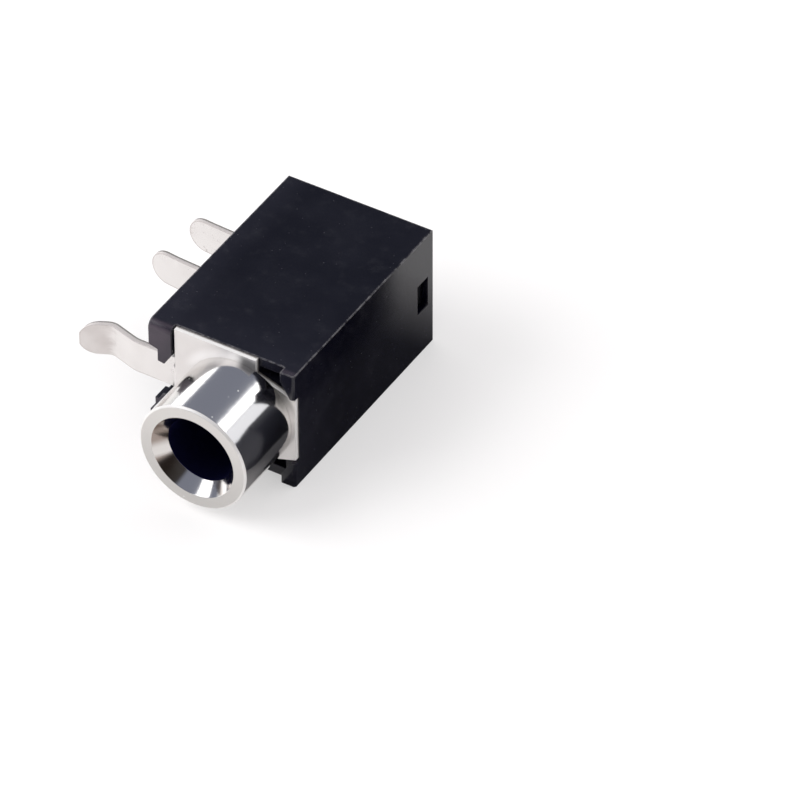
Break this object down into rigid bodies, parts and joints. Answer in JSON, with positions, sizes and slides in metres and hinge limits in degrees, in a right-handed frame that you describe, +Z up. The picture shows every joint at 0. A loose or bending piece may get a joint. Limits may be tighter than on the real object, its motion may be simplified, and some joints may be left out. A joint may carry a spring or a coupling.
{
  "type": "pcb audio jack",
  "caption": "Through-hole audio jack: a black moulded housing with a plated bush at the front and kinked flat solder terminals on the board side.",
  "frame": {"origin": "on the bush axis, on the front face of the housing's front wall", "axes": "-Y along the bush axis out of its mouth, -X towards the board that the terminals go through, +Z up from the side face that the loose part lies on"},
  "size_m": [0.0128, 0.017, 0.007],
  "materials": {
    "housing_plastic": "satin",
    "carrier_plastic": "satin",
    "bush_nickel": "polished",
    "terminal_tin": "satin"
  },
  "bodies": {
    "root": {"housing": "housing_plastic", "contact_carrier": "carrier_plastic", "sleeve_barrel": "bush_nickel", "sleeve_plate": "terminal_tin", "ring_contact": "terminal_tin", "tip_contact": "terminal_tin"}
  },
  "joints": []
}
